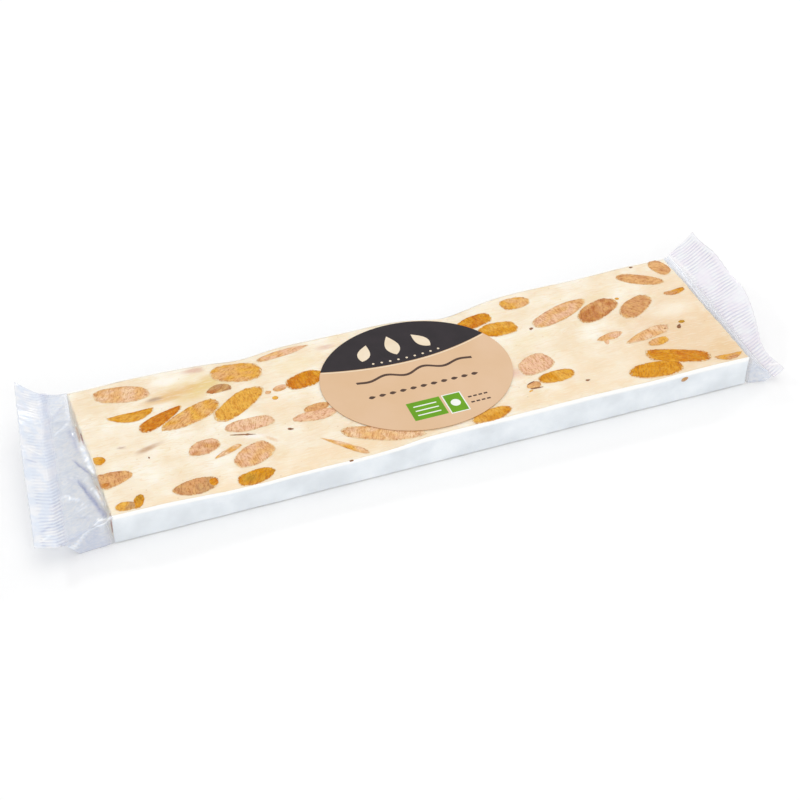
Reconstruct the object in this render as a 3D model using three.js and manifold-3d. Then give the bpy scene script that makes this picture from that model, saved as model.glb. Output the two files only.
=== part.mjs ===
// A nougat bar in a clear flow-wrap: a flat slab closed in one tight tube of film, which is crimped
// flat at both ends, with an oval paper label stuck on the film over the middle of the top face.
// Millimetres, +Z up. X runs along the bar and Y across it, with its front long side at -Y.
// The origin is under the middle of the whole pack, on the table.
import * as THREE from "three";
import { mergeVertices } from "three/addons/utils/BufferGeometryUtils.js";
import Module from "manifold-3d";

const wasm = await Module();
wasm.setup();

// The slab, cut from a sheet of nougat, as the tight film shows it
const BAR_LENGTH = 225;
const BAR_WIDTH = 63;
const BAR_HEIGHT = 12.25;
const EDGE_RADIUS = 0.9;

// The slab lies off the pack's middle, because the left end seal sticks out further than the
// right one, and both turn up and out at the back.
const SLAB_CENTRE = { x: 3, y: -2 };

// The knife left the top a little uneven
const TOP_WAVE = { height: 0.22, length: 46, across: 31 };
const SIDE_WAVE = { depth: 0.35, length: 62, curve: 8 };

// The long top edges sag and draw in: each dip's middle and reach along X, and how far the edge
// comes down and in there. A dip fades out within its width from the edge.
const FRONT_DIPS = [
  { at: -72, reach: 26, down: 2.1, inward: 0 },
  { at: -30, reach: 26, down: 2.1, inward: 0 },
];
const BACK_DIPS = [
  { at: -10, reach: 75, down: 0, inward: 1.5 },
  { at: -53, reach: 10, down: 1, inward: 1.3 },
  { at: 22, reach: 14, down: 2, inward: 2.6 },
];
const DIP_WIDTH = 5.5;

// The film's flat end seals, with ribs that run outwards from the slab
const CRIMP_THICKNESS = 0.7;
const RIB_PITCH = 1.5;
const RIB_HEIGHT = 0.4;
const RIB_FADE = 0.25;
const RISE_CURVE = 1.2;
const CRIMP_ROOT = 0.8;
const CRIMP_ROOT_SHARE = 0.08;

// The tent of film between the slab's end and the crimp is thicker and a little narrower than the
// crimp where they meet. Its top falls at once, and its sides tuck in between their two edges.
const TENT_END_THICKNESS = 1.8;
const TENT_END_REACH = 0.985;
const TENT_FALL_CURVE = 0.85;
const GUSSET = { tuck: 2.4, curve: 6 };

// Each end's crimp line and cut edge: their distance beyond the slab and their height above the
// table, at the front and at the back. The swells push the cut edge out between its two corners,
// or draw it in. Across the bar, at runs from -1 at the front to 1 at the back.
const LEFT_END = {
  side: -1,
  crimpLine: { front: 16.5, back: 8, frontHeight: 6.6, backHeight: 11.5 },
  cutEdge: { front: 24.5, back: 15.5, frontHeight: 8.5, backHeight: 16.6 },
  reach: { front: 33.5, back: 34, flare: 3 },
  swells: [{ at: 0.1, width: 0.6, out: 0.5 }],
  floorShare: 0.62,
};
const RIGHT_END = {
  side: 1,
  crimpLine: { front: 9, back: 4, frontHeight: 2.2, backHeight: 9 },
  cutEdge: { front: 13.7, back: 15, frontHeight: 4.6, backHeight: 16 },
  reach: { front: 33.8, back: 35.5, flare: 2 },
  swells: [
    { at: 0, width: 0.45, out: 4 },
    { at: -0.6, width: 0.3, out: -2 },
  ],
  floorShare: 0.8,
};

// The end seals are a little wavy along their cut edges
const EDGE_WAVE = { height: 0.5, length: 19 };

// The label
const LABEL_LENGTH = 67;
const LABEL_WIDTH = 57;
const LABEL_THICKNESS = 0.25;
const LABEL_CENTRE = { x: 0.7, y: -0.4 };
// The flat patch under it ends a little beyond its rim, and the full relief starts at the second
// of these two, both in label radii. The edges' dips come closer to it.
const LABEL_PATCH = { ends: 1.125, blended: 2.375 };
const LABEL_DIP_PATCH = { ends: 1.02, blended: 1.22 };

// How finely each surface is divided
const SLAB_STEPS = 30;
const TENT_STEPS = 5;
const ACROSS_STEPS = 18;
const UP_STEPS = 3;
const CORNER_STEPS = 2;
const CRIMP_STEPS = 4;
const LABEL_STEPS = 30;

const mix = (a, b, share) => a + (b - a) * share;
const ease = (share) => share * share * (3 - 2 * share);
const bump = (value, centre, width) => Math.exp(-(((value - centre) / width) ** 2));

// Moves every corner of a geometry to where place() puts it, and turns the result into a solid.
function solidFrom(geometry, place) {
  const corners = geometry.getAttribute("position");
  for (let i = 0; i < corners.count; i += 1) {
    const moved = place(corners.getX(i), corners.getY(i), corners.getZ(i));
    corners.setXYZ(i, moved.x, moved.y, moved.z);
  }
  geometry.deleteAttribute("normal");
  geometry.deleteAttribute("uv");
  const merged = mergeVertices(geometry, 1e-4);
  const { Manifold, Mesh } = wasm;
  return new Manifold(
    new Mesh({
      numProp: 3,
      vertProperties: merged.attributes.position.array,
      triVerts: new Uint32Array(merged.index.array),
    }),
  );
}

function geometryFrom(solid) {
  const { vertProperties, triVerts } = solid.getMesh();
  const geometry = new THREE.BufferGeometry();
  geometry.setAttribute("position", new THREE.BufferAttribute(vertProperties, 3));
  geometry.setIndex(new THREE.BufferAttribute(triVerts, 1));
  geometry.computeVertexNormals();
  return geometry;
}

// 1 away from the label and 0 under it, so that the label lies on a flat patch
function clearOfLabel(x, y, { ends, blended }) {
  const across = Math.hypot(
    (x - LABEL_CENTRE.x) / (LABEL_LENGTH / 2),
    (y - LABEL_CENTRE.y) / (LABEL_WIDTH / 2),
  );
  return ease(THREE.MathUtils.clamp((across - ends) / (blended - ends), 0, 1));
}

// How far the long edge at the front or at the back comes down, or in, at x
function edgeDip(x, y, way) {
  const dips = y < 0 ? FRONT_DIPS : BACK_DIPS;
  return dips.reduce((sum, dip) => sum + dip[way] * bump(x, dip.at, dip.reach), 0);
}

// The height of the slab's top above its plain height
function topRelief(x, y) {
  const wave =
    TOP_WAVE.height *
    Math.sin((2 * Math.PI * x) / TOP_WAVE.length + 1) *
    Math.cos((2 * Math.PI * y) / TOP_WAVE.across);
  const sag = edgeDip(x, y, "down") * bump(BAR_WIDTH / 2 - Math.abs(y), 0, DIP_WIDTH);
  return clearOfLabel(x, y, LABEL_PATCH) * wave - clearOfLabel(x, y, LABEL_DIP_PATCH) * sag;
}

// A point of the crimp's middle surface: across is -1 at the front and 1 at the back, and
// outward is 0 at the crimp line and 1 at the cut edge.
function crimpPoint(end, across, outward) {
  const { crimpLine, cutEdge, reach, swells } = end;
  const back = (across + 1) / 2;
  const rise = ease(back);
  const swell = swells.reduce((sum, { at, width, out }) => sum + out * bump(across, at, width), 0);
  const from = mix(crimpLine.front, crimpLine.back, back);
  const to = mix(cutEdge.front, cutEdge.back, back);
  const y = mix(-reach.front, reach.back, back) + reach.flare * outward * back ** 3;
  const lineHeight = mix(crimpLine.frontHeight, crimpLine.backHeight, rise);
  const edgeHeight = mix(cutEdge.frontHeight, cutEdge.backHeight, rise);
  const wave = EDGE_WAVE.height * Math.sin((2 * Math.PI * y) / EDGE_WAVE.length) * outward;
  return new THREE.Vector3(
    end.side * (BAR_LENGTH / 2 + mix(from, to + swell, outward)),
    y,
    mix(lineHeight, edgeHeight, outward ** RISE_CURVE) + wave,
  );
}

// The slab's outline across its length: a rectangle with small round corners. It has points all
// along its sides, so that the film can bend between them.
function slabOutline() {
  const side = BAR_WIDTH / 2 - EDGE_RADIUS;
  const low = EDGE_RADIUS;
  const high = BAR_HEIGHT - EDGE_RADIUS;
  const corners = [
    { y: side, z: low, stepsBefore: ACROSS_STEPS },
    { y: side, z: high, stepsBefore: UP_STEPS },
    { y: -side, z: high, stepsBefore: ACROSS_STEPS },
    { y: -side, z: low, stepsBefore: UP_STEPS },
  ];
  const points = [new THREE.Vector2(-side, 0)];
  corners.forEach(({ y, z, stepsBefore }, turn) => {
    const arc = new THREE.EllipseCurve(
      y,
      z,
      EDGE_RADIUS,
      EDGE_RADIUS,
      ((turn - 1) * Math.PI) / 2,
      (turn * Math.PI) / 2,
    ).getPoints(CORNER_STEPS);
    const start = points.at(-1);
    for (let i = 1; i < stepsBefore; i += 1) {
      points.push(start.clone().lerp(arc[0], i / stepsBefore));
    }
    points.push(...arc);
  });
  points.pop();
  return new THREE.Shape(points);
}

// The film over the slab: the slab's outline with the top's relief, the edges' dips and the
// sides' gentle waves
function filmOnSlab(x, y, z) {
  const up = z / BAR_HEIGHT;
  const side = (Math.abs(y) / (BAR_WIDTH / 2)) ** SIDE_WAVE.curve;
  const wave = Math.abs(Math.sin((2 * Math.PI * x) / SIDE_WAVE.length)) * Math.sin(Math.PI * up);
  const inward = SIDE_WAVE.depth * wave + edgeDip(x, y, "inward") * up ** 2;
  return new THREE.Vector3(
    x,
    y - Math.sign(y) * inward * side,
    z + topRelief(x, y) * up ** 2,
  );
}

// The tent of film between the slab's end and the crimp. closed is 0 at the slab and 1 at the
// crimp line. The underside stays down on the table until late, and the top falls at once.
function filmTent(end, closed, y, z) {
  const across = y / (BAR_WIDTH / 2);
  const up = z / BAR_HEIGHT;
  const slab = filmOnSlab((end.side * BAR_LENGTH) / 2, y, z);
  const crimp = crimpPoint(end, across, 0);
  const late = THREE.MathUtils.clamp((closed - end.floorShare) / (1 - end.floorShare), 0, 1);
  const fall = mix(ease(late), closed ** TENT_FALL_CURVE, up);
  const middle = Math.sin(Math.PI * closed) * Math.sin(Math.PI * up);
  const tuck = GUSSET.tuck * middle * Math.abs(across) ** GUSSET.curve;
  return new THREE.Vector3(
    mix(slab.x, crimp.x, closed),
    mix(slab.y, crimp.y * TENT_END_REACH, closed) - Math.sign(y) * tuck,
    mix(slab.z, crimp.z + (up - 0.5) * TENT_END_THICKNESS, fall),
  );
}

// Slab and tents in one sweep of the outline, with the stations close together in the tents
function filmBody() {
  const steps = TENT_STEPS + SLAB_STEPS + TENT_STEPS;
  const sweep = new THREE.ExtrudeGeometry(slabOutline(), {
    depth: steps,
    steps,
    bevelEnabled: false,
  });
  return solidFrom(sweep, (y, z, along) => {
    const station = Math.round(along);
    if (station < TENT_STEPS) {
      return filmTent(LEFT_END, 1 - station / TENT_STEPS, y, z);
    }
    if (station > TENT_STEPS + SLAB_STEPS) {
      return filmTent(RIGHT_END, (station - TENT_STEPS - SLAB_STEPS) / TENT_STEPS, y, z);
    }
    const x = BAR_LENGTH * ((station - TENT_STEPS) / SLAB_STEPS - 0.5);
    return filmOnSlab(x, y, z);
  });
}

// One end seal: a thin plate, bent to the crimp's surface, with its ribs pressed in. Its first
// strip is its root, which is plain and lies inside the tent's end.
function crimpedEnd(end) {
  const ribs = Math.round((end.reach.front + end.reach.back) / RIB_PITCH);
  const plate = new THREE.BoxGeometry(1, 2, 1, CRIMP_STEPS, 2 * ribs, 1);
  return solidFrom(plate, (x, across, z) => {
    const along = mix(-CRIMP_ROOT_SHARE, 1, x * end.side + 0.5);
    const outward = Math.max(along, 0);
    const root = (Math.min(along, 0) / CRIMP_ROOT_SHARE) * CRIMP_ROOT;
    const ridge = Math.round((across + 1) * ribs) % 2 === 0 ? -0.5 : 0.5;
    const point = crimpPoint(end, across, outward);
    point.x += end.side * root;
    point.z += z * CRIMP_THICKNESS + ridge * RIB_HEIGHT * Math.min(1, outward / RIB_FADE);
    return point;
  });
}

function makeWrappedBar() {
  const solid = filmBody().add(crimpedEnd(LEFT_END)).add(crimpedEnd(RIGHT_END));
  const nougat = new THREE.MeshStandardMaterial({ color: 0xf3e3c6, roughness: 0.35, metalness: 0 });
  const bar = new THREE.Mesh(geometryFrom(solid), nougat);
  bar.name = "wrapped_bar";
  return bar;
}

function makeLabel() {
  const oval = new THREE.Shape();
  oval.absellipse(0, 0, LABEL_LENGTH / 2, LABEL_WIDTH / 2, 0, 2 * Math.PI);
  const plate = new THREE.ExtrudeGeometry(oval, {
    depth: LABEL_THICKNESS,
    bevelEnabled: false,
    curveSegments: LABEL_STEPS,
  });
  const paper = new THREE.MeshStandardMaterial({ color: 0xdfb993, roughness: 0.45, metalness: 0 });
  const label = new THREE.Mesh(plate, paper);
  label.position.set(LABEL_CENTRE.x, LABEL_CENTRE.y, BAR_HEIGHT);
  label.name = "label";
  return label;
}

const nougatBar = new THREE.Group();
nougatBar.position.set(SLAB_CENTRE.x, SLAB_CENTRE.y, 0);
nougatBar.add(makeWrappedBar(), makeLabel());

export default nougatBar;
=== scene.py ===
import math
import random

import bmesh
import bpy
from mathutils import Matrix, Vector, noise


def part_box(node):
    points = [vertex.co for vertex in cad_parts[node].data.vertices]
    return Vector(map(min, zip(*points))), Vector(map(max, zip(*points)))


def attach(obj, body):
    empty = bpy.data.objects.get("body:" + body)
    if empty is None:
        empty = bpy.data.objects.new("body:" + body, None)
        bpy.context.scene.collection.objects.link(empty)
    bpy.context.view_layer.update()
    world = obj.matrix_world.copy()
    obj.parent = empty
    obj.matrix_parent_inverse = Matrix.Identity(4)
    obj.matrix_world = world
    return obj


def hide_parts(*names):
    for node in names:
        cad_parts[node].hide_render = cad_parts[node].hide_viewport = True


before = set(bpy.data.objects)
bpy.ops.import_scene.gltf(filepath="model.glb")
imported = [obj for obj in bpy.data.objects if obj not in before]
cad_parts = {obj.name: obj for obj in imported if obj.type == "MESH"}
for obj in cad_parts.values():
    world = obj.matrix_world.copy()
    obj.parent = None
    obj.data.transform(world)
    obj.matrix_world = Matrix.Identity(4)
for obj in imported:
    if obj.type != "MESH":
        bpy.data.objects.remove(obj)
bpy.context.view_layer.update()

# The slab: soft white nougat, whipped from honey, sugar and egg white round whole almonds, pressed
# between two sheets of wafer and cut into bars. Its top and bottom are knife cuts. All sizes are in
# millimetres from the slab's middle, and the frame's label says where that middle is.
MM = 0.001
LABEL_MIDDLE = (0.7, -0.4)
label_low, label_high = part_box("label")
SLAB_X = (label_low.x + label_high.x) / 2 / MM - LABEL_MIDDLE[0]
SLAB_Y = (label_low.y + label_high.y) / 2 / MM - LABEL_MIDDLE[1]
LABEL_RADII = ((label_high.x - label_low.x) / 2 / MM, (label_high.y - label_low.y) / 2 / MM)
PACK_HEIGHT = label_low.z / MM
PACK_LENGTH = 225
PACK_WIDTH = 63
SLAB_TOP = PACK_HEIGHT - 0.2
SLAB_BOTTOM = 0.25
WAFER_THICKNESS = 0.45
SLAB_WIDTH = PACK_WIDTH - 0.5 - 2 * WAFER_THICKNESS
SLAB_LENGTH = PACK_LENGTH - 0.5
SLAB_EDGE_RADIUS = 0.5
SLAB_STEPS = (0.8, 0.75, 1.2)

# The knife's waves, and the dips of the long edges: middle and reach along X, down and inward
TOP_WAVE = {"height": 0.22, "length": 46, "across": 31}
SIDE_WAVE = {"depth": 0.35, "length": 62, "curve": 8}
FRONT_DIPS = ((-72, 26, 2.1, 0), (-30, 26, 2.1, 0))
BACK_DIPS = ((-10, 75, 0, 1.5), (-53, 10, 1, 1.3), (22, 14, 2, 2.6))
DIP_WIDTH = 5.5
# The pack is flat under the label. The waves and the dips grow to full between these two shares of
# the label's radii.
LABEL_PATCH = (1.125, 2.375)
LABEL_DIP_PATCH = (1.02, 1.22)

# Patches laid over the cream: honey smears drawn by the knife, darker and paler spots, and warmer
# zones towards the right end and along the front edge. Each: middle, half length and half width,
# turn, colour, weight
NOUGAT_SMEARS = (
    (-67, 19, 15, 5, 22, "#E9CB86", 0.9),
    (-80, 18, 10, 3.4, 12, "#E6BC7C", 0.8),
    (-74, 24, 9, 3, 25, "#EFD9A6", 0.5),
    (-93.8, -5.3, 5, 1.4, 17, "#C69C76", 0.85),
    (-85.8, 17.8, 3, 1.1, 0, "#B3937A", 0.9),
    (-69.8, 28.3, 4.6, 2, 0, "#DDB6A0", 0.8),
    (-101.8, -1.9, 1.8, 0.7, -15, "#B5907A", 0.85),
    (-55.3, -14.4, 4, 0.9, -52, "#E2B98C", 0.7),
    (-23.2, 24.8, 4, 1.7, 0, "#E0B8A2", 0.7),
    (32.5, -11.5, 4, 3.2, 10, "#E9BDA8", 0.7),
    (-79, 25.5, 8, 3, 5, "#FFF8EC", 0.8),
    (-48, 0, 6, 9, 0, "#F6DDB9", 0.4),
    (-36, 19, 10, 5, 10, "#F3DDB0", 0.6),
    (-54, -21, 4, 5, -40, "#F1DAB4", 0.5),
    (-60, -11.5, 5, 1.2, -15, "#FFFAF2", 0.8),
    (-20, -26, 45, 5, 0, "#F3D5AB", 0.65),
    (-75, -30, 40, 2.5, 0, "#F7DCB6", 0.6),
    (48, -27, 26, 5, 0, "#F4D9B2", 0.6),
    (97, -12, 26, 26, 0, "#ECCCA2", 0.85),
    (107, -25, 9, 8, 0, "#E9C797", 0.7),
    (70, -20, 30, 14, -10, "#F3DAB6", 0.55),
    (105, 14, 10, 16, 0, "#F0D5B0", 0.6),
    (78, 18, 9, 3.5, 15, "#EFD5A6", 0.55),
    (45, 4, 18, 5, 15, "#F3DFB4", 0.4),
    (37.2, -18.6, 1.4, 1, 0, "#FFFDF8", 0.95),
    (100, 2, 9, 5, 10, "#FBEFD9", 0.8),
)


def mix(start, end, share):
    return start + (end - start) * share


def ease(share):
    """Runs softly from 0 to 1 and stays there."""
    share = min(max(share, 0), 1)
    return share * share * (3 - 2 * share)


def bump(value, centre, width):
    """1 at the centre, and falls away softly on both sides."""
    return math.exp(-(((value - centre) / width) ** 2))


def clear_of_label(x, y, patch):
    """1 away from the label and 0 under it."""
    across = math.hypot((x - LABEL_MIDDLE[0]) / LABEL_RADII[0], (y - LABEL_MIDDLE[1]) / LABEL_RADII[1])
    return ease((across - patch[0]) / (patch[1] - patch[0]))


def edge_dip(x, y):
    """How far the long edge at the front or the back comes down and in at x."""
    down = inward = 0
    for at, reach, dip_down, dip_inward in FRONT_DIPS if y < 0 else BACK_DIPS:
        down += dip_down * bump(x, at, reach)
        inward += dip_inward * bump(x, at, reach)
    return down, inward


def on_slab(x, y, z):
    """Where a point of the plain block goes: the frame's relief, dips and side waves."""
    up = z / PACK_HEIGHT
    side = (abs(y) / (PACK_WIDTH / 2)) ** SIDE_WAVE["curve"]
    down, inward = edge_dip(x, y)
    wave = abs(math.sin(2 * math.pi * x / SIDE_WAVE["length"])) * math.sin(math.pi * min(up, 1))
    top_wave = (
        TOP_WAVE["height"]
        * math.sin(2 * math.pi * x / TOP_WAVE["length"] + 1)
        * math.cos(2 * math.pi * y / TOP_WAVE["across"])
    )
    sag = down * bump(PACK_WIDTH / 2 - abs(y), 0, DIP_WIDTH)
    relief = clear_of_label(x, y, LABEL_PATCH) * top_wave - clear_of_label(x, y, LABEL_DIP_PATCH) * sag
    shift = SIDE_WAVE["depth"] * wave + inward * up**2
    return Vector((x, y - math.copysign(shift * side, y), z + relief * up**2))


def cut_along(bm, axis, step):
    """Cuts the long edges that run along one axis into lengths of about one step."""
    runs = {edge: edge.verts[1].co - edge.verts[0].co for edge in bm.edges}
    along = [edge for edge, run in runs.items() if abs(run[axis]) > 0.999 * run.length > 2 * step]
    if along:
        cuts = round(along[0].calc_length() / step) - 1
        bmesh.ops.subdivide_edges(bm, edges=along, cuts=cuts)


def block(length, width, low, high, edge_radius, steps, rounded_axes=(0, 1, 2)):
    """A block with rounded edges, cut finely enough to be shaped."""
    bm = bmesh.new()
    bmesh.ops.create_cube(bm, size=1)
    bmesh.ops.scale(bm, vec=(length, width, high - low), verts=bm.verts)
    bmesh.ops.translate(bm, vec=(0, 0, (low + high) / 2), verts=bm.verts)
    rounded = []
    for edge in bm.edges:
        run = edge.verts[1].co - edge.verts[0].co
        if any(abs(run[axis]) > 0.5 * run.length for axis in rounded_axes):
            rounded.append(edge)
    bmesh.ops.bevel(
        bm, geom=rounded, offset=edge_radius, affect="EDGES", segments=3, profile=0.5, material=-1
    )
    for axis, step in enumerate(steps):
        cut_along(bm, axis, step)
    return bm


def linear(hex_colour):
    """An sRGB hex colour as the linear numbers that a shader takes."""
    values = [int(hex_colour[i:i + 2], 16) / 255 for i in (1, 3, 5)]
    return (*(v / 12.92 if v <= 0.04045 else ((v + 0.055) / 1.055) ** 2.4 for v in values), 1)


def set_inputs(tree, made, inputs):
    """Sets or links each of these inputs of a node. A node as a value is its first output."""
    for name, value in inputs.items():
        if isinstance(value, bpy.types.Node):
            value = value.outputs[0]
        if isinstance(value, bpy.types.NodeSocket):
            tree.links.new(value, made.inputs[name])
        else:
            made.inputs[name].default_value = value


def add_node(tree, kind, inputs, **settings):
    """Adds a node with its settings and inputs."""
    made = tree.nodes.new(kind)
    for name, value in settings.items():
        setattr(made, name, value)
    set_inputs(tree, made, inputs)
    return made


def new_material(name):
    """A material with a bare Principled shader, its tree and its object coordinates in mm."""
    material = bpy.data.materials.new(name)
    material.use_nodes = True
    tree = material.node_tree
    tree.nodes.clear()
    shader = add_node(tree, "ShaderNodeBsdfPrincipled", {})
    add_node(tree, "ShaderNodeOutputMaterial", {"Surface": shader})
    coords = add_node(tree, "ShaderNodeTexCoord", {})
    in_mm = add_node(
        tree,
        "ShaderNodeVectorMath",
        {0: coords.outputs["Object"], "Scale": 1 / MM},
        operation="SCALE",
    )
    return material, tree, shader, in_mm.outputs["Vector"]


def set_ramp(ramp_node, *stops):
    """Sets a colour ramp's stops, each a place and a hex colour or a grey level."""
    ramp = ramp_node.color_ramp
    while len(ramp.elements) < len(stops):
        ramp.elements.new(1)
    for element, (place, colour) in zip(ramp.elements, stops):
        element.position = place
        element.color = linear(colour) if isinstance(colour, str) else (colour, colour, colour, 1)
    return ramp_node


to_frame = Matrix.Scale(MM, 4) @ Matrix.Translation((SLAB_X, SLAB_Y, 0))


def finish_piece(bm, name, material, node, smooth=True):
    """Puts a mesh made round the slab's middle into the frame, as a piece that replaces a node."""
    bm.transform(to_frame)
    mesh = bpy.data.meshes.new(name)
    bm.to_mesh(mesh)
    bm.free()
    mesh.polygons.foreach_set("use_smooth", [smooth] * len(mesh.polygons))
    mesh.materials.append(material)
    piece = bpy.data.objects.new(name, mesh)
    bpy.context.scene.collection.objects.link(piece)
    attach(piece, "root")
    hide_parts(node)


# The knife's marks on the cut faces and the torn edge of the slab's ends. Each noise here and
# further down reads its own slice of the pattern, so that no two run alike.
CUT_DEPTH = 0.085
LUMPS = {"size": 6, "height": 0.05}
DRAG_LINES = {"along": (0.94, 0.34), "length": 14, "width": 1.3, "height": 0.02}
PITS = {"apart": 8, "depth": 0.28, "width": 0.07}
TORN_END = {"reach": 1, "depth": 0.35}
# Where a smear has faded out, in its own half sizes, and how far that wanders
SMEAR_REACH = 1.25
SMEAR_RAGGED = 0.35


def knife_marks(x, y):
    """How far the cut face lies under its plain height: soft lumps, drag lines and a few pits."""
    lumps = noise.noise(Vector((x / LUMPS["size"], y / LUMPS["size"], 3))) * LUMPS["height"]
    run_x, run_y = DRAG_LINES["along"]
    along = (x * run_x + y * run_y) / DRAG_LINES["length"]
    across = (y * run_x - x * run_y) / DRAG_LINES["width"]
    lines = noise.noise(Vector((along, across, 8))) * DRAG_LINES["height"]
    distances = noise.voronoi(Vector((x / PITS["apart"], y / PITS["apart"], 5)))[0]
    pit = PITS["depth"] * bump(distances[0], 0, PITS["width"])
    return CUT_DEPTH - lumps - lines + pit


def smear_colour(x, y):
    """The smears over one point, as one colour and its weight in a colour attribute."""
    colour, weight = Vector((1, 1, 1)), 0
    ragged = SMEAR_RAGGED * noise.noise(Vector((x / 5, y / 3, 11)))
    for middle_x, middle_y, half_length, half_width, turn, tone, strength in NOUGAT_SMEARS:
        if abs(x - middle_x) > (SMEAR_REACH + SMEAR_RAGGED) * half_length + half_width:
            continue
        turned = Matrix.Rotation(math.radians(-turn), 2) @ Vector((x - middle_x, y - middle_y))
        reach = math.hypot(turned.x / half_length, turned.y / half_width)
        share = strength * ease(SMEAR_REACH - reach - ragged)
        if share > 0:
            new_weight = share + weight * (1 - share)
            colour = colour.lerp(Vector(linear(tone)[:3]), share / new_weight)
            weight = new_weight
    return (*colour, weight)


slab = block(SLAB_LENGTH, SLAB_WIDTH, SLAB_BOTTOM, SLAB_TOP, SLAB_EDGE_RADIUS, SLAB_STEPS)
smears = slab.verts.layers.float_color.new("smears")
for vert in slab.verts:
    x, y, z = vert.co
    depth = knife_marks(x, y)
    vert[smears] = smear_colour(x, y) if z > SLAB_TOP / 2 else (1, 1, 1, 0)
    end = ease((abs(x) - SLAB_LENGTH / 2) / TORN_END["reach"] + 1)
    torn = TORN_END["depth"] * end * (0.5 + noise.noise(Vector((y / 3, z / 2, 21))))
    up = mix(-1, 1, ease((z - SLAB_BOTTOM) / (SLAB_TOP - SLAB_BOTTOM)))
    vert.co = on_slab(x, y, z) - Vector((math.copysign(torn, x), 0, up * depth))

# Soft nougat, cut: matt cream with whiter clouds where more air was whipped in, thin honey veins,
# and fine drag lines from the knife. A little light goes into it.
nougat, tree, shader, in_mm = new_material("soft_nougat_cut")
clouds = add_node(tree, "ShaderNodeTexNoise", {"Vector": in_mm, "Scale": 1 / 11, "Detail": 5})
cream = set_ramp(
    add_node(tree, "ShaderNodeValToRGB", {"Fac": clouds}),
    (0.34, "#F3DFC0"), (0.5, "#F8EAD2"), (0.66, "#FCF4E4"),
)
dragged = add_node(
    tree,
    "ShaderNodeMapping",
    {"Vector": in_mm, "Rotation": (0, 0, math.radians(-20)), "Scale": (0.12, 0.7, 0.3)},
)
veins = add_node(
    tree, "ShaderNodeTexNoise", {"Vector": dragged, "Scale": 0.8, "Detail": 6, "Distortion": 1.2}
)
honey_share = set_ramp(
    add_node(tree, "ShaderNodeValToRGB", {"Fac": veins}), (0.56, 0), (0.66, 0.22), (0.72, 0.05)
)
honeyed = add_node(
    tree, "ShaderNodeMixRGB", {"Fac": honey_share, "Color1": cream, "Color2": linear("#EBCF8E")}
)
pulled = add_node(
    tree, "ShaderNodeTexNoise", {"Vector": dragged, "Scale": 0.5, "Detail": 4, "Distortion": 1}
)
crease_share = set_ramp(
    add_node(tree, "ShaderNodeValToRGB", {"Fac": pulled}), (0.47, 0), (0.49, 0.35), (0.52, 0)
)
creased = add_node(
    tree, "ShaderNodeMixRGB", {"Fac": crease_share, "Color1": honeyed, "Color2": linear("#E9C896")}
)
smeared_on = add_node(tree, "ShaderNodeAttribute", {}, attribute_name="smears")
smeared = add_node(
    tree,
    "ShaderNodeMixRGB",
    {"Fac": smeared_on.outputs["Alpha"], "Color1": creased, "Color2": smeared_on},
)
streaks = add_node(tree, "ShaderNodeTexNoise", {"Vector": dragged, "Scale": 3, "Detail": 4})
pale_share = set_ramp(
    add_node(tree, "ShaderNodeValToRGB", {"Fac": streaks}), (0.52, 0), (0.7, 0.28)
)
pale = add_node(
    tree, "ShaderNodeMixRGB", {"Fac": pale_share, "Color1": smeared, "Color2": linear("#FFFBF0")}
)
crumbs = add_node(tree, "ShaderNodeTexVoronoi", {"Vector": in_mm, "Scale": 1 / 4.5})
crumb_share = set_ramp(
    add_node(tree, "ShaderNodeValToRGB", {"Fac": crumbs}), (0.04, 0.35), (0.08, 0)
)
flecked = add_node(
    tree, "ShaderNodeMixRGB", {"Fac": crumb_share, "Color1": pale, "Color2": linear("#CBA172")}
)
pores = add_node(tree, "ShaderNodeTexNoise", {"Vector": in_mm, "Scale": 1.6, "Detail": 5})
relief = add_node(tree, "ShaderNodeMixRGB", {"Fac": 0.2, "Color1": pores, "Color2": streaks})
bumps = add_node(tree, "ShaderNodeBump", {"Strength": 0.25, "Distance": 0.1 * MM, "Height": relief})
set_inputs(tree, shader, {
    "Base Color": flecked,
    "Normal": bumps,
    "Roughness": 0.5,
    "Specular IOR Level": 0.3,
    "Subsurface Weight": 0.15,
    "Subsurface Radius": (1, 0.7, 0.4),
    "Subsurface Scale": 1.5 * MM,
})
finish_piece(slab, "nougat_slab", nougat, "wrapped_bar")

# The two sheets of wafer, rolled on to the sheet of nougat before it was cut. They are its long
# sides now, and their cut edges show from above as white lines. Below the edge, a band along the
# top of each face is painted whiter still: a painted highlight.
WAFER_STEPS = (1.2, 0.4, 1)
WAFER_RADIUS = 0.15
# How much shorter than the slab the sheets are, and how far they stand out below it
WAFER_SHORT = 0.2
WAFER_SAG = 0.05
WAFER_RIPPLE = {"depth": 0.12, "length": 9, "rise": 6}
WAFER_RAGGED = {"depth": 0.15, "length": 2.5}
# How far down the face the whiter band of cut edge and painted highlight reaches, and its fade
EDGE_AND_HIGHLIGHT_BAND = {"height": 2.2, "fade": 0.9}
# Rice wafer: matt, chalky, a little blue and cloudy, with a faint weave. Its top is whiter: the cut
# edge, and a painted highlight down the top of the face.
wafer, tree, shader, in_mm = new_material("rice_wafer")
haze = add_node(tree, "ShaderNodeTexNoise", {"Vector": in_mm, "Scale": 1 / 10, "Detail": 5})
white = set_ramp(
    add_node(tree, "ShaderNodeValToRGB", {"Fac": haze}),
    (0.34, "#DDE2E6"), (0.5, "#E6EBEF"), (0.66, "#EFF3F6"),
)
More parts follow.
